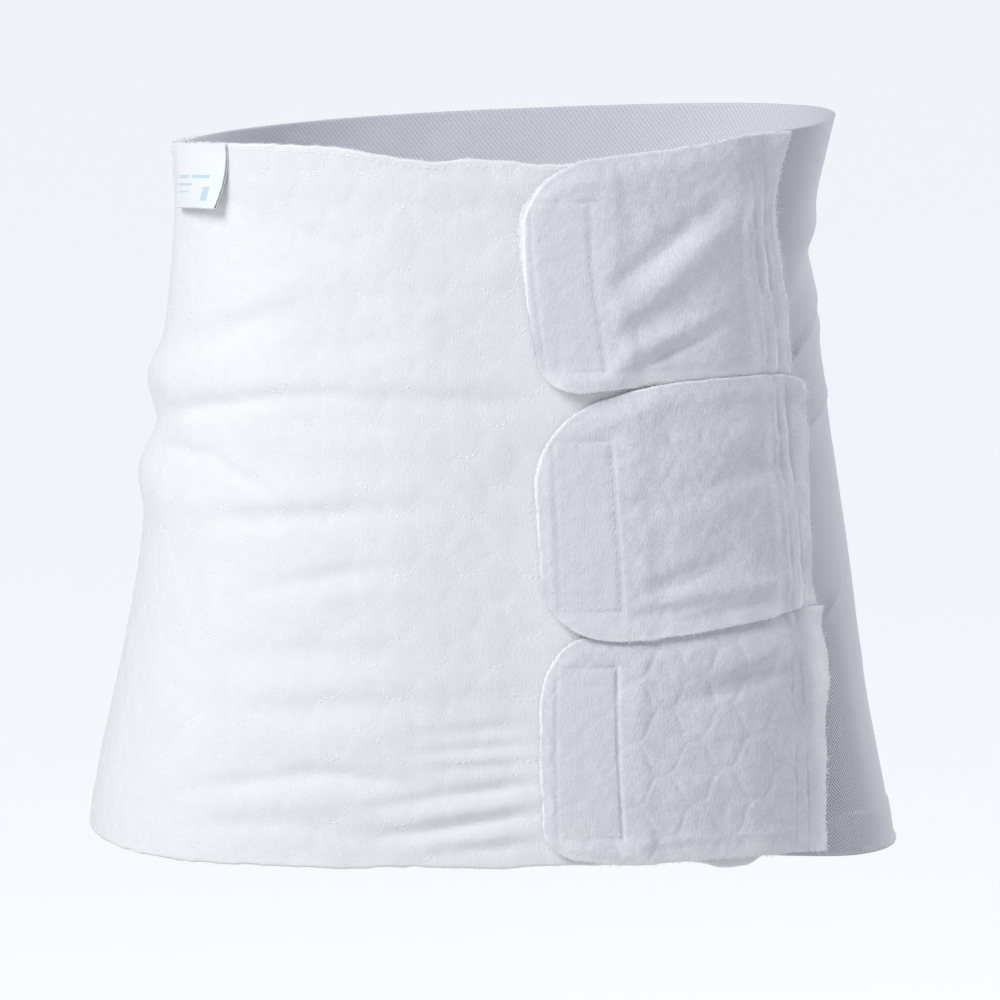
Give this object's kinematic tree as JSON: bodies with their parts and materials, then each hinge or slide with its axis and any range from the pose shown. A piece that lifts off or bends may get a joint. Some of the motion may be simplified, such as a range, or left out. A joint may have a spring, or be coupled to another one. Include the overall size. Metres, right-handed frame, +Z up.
{
  "type": "belly band",
  "caption": "Wide quilted belly band with a stretch net back, worn round the torso and closed at one side by rounded hook tape tabs.",
  "frame": {"origin": "middle of the torso space at the waist, where the band sits on its wearer", "axes": "+Z up along the torso, -Y towards the wearer's front, +X towards the wearer's left, the side where the tabs are sewn on"},
  "size_m": [0.311, 0.2403, 0.2804],
  "materials": {
    "pile_cloth": "quilted cotton pile, matt, white",
    "stretch_net": "fine stretch net, white, slightly see-through",
    "hook_tape": "woven hook tape, white",
    "label_tape": "smooth woven tape, white with plain pale blue bars"
  },
  "bodies": {
    "root": {"front_panel": "pile_cloth", "back_panel": "stretch_net", "upper_tab": "pile_cloth", "middle_tab": "pile_cloth", "lower_tab": "pile_cloth", "upper_hook_strip": "hook_tape", "middle_hook_strip": "hook_tape", "lower_hook_strip": "hook_tape", "size_label": "label_tape"}
  },
  "joints": []
}
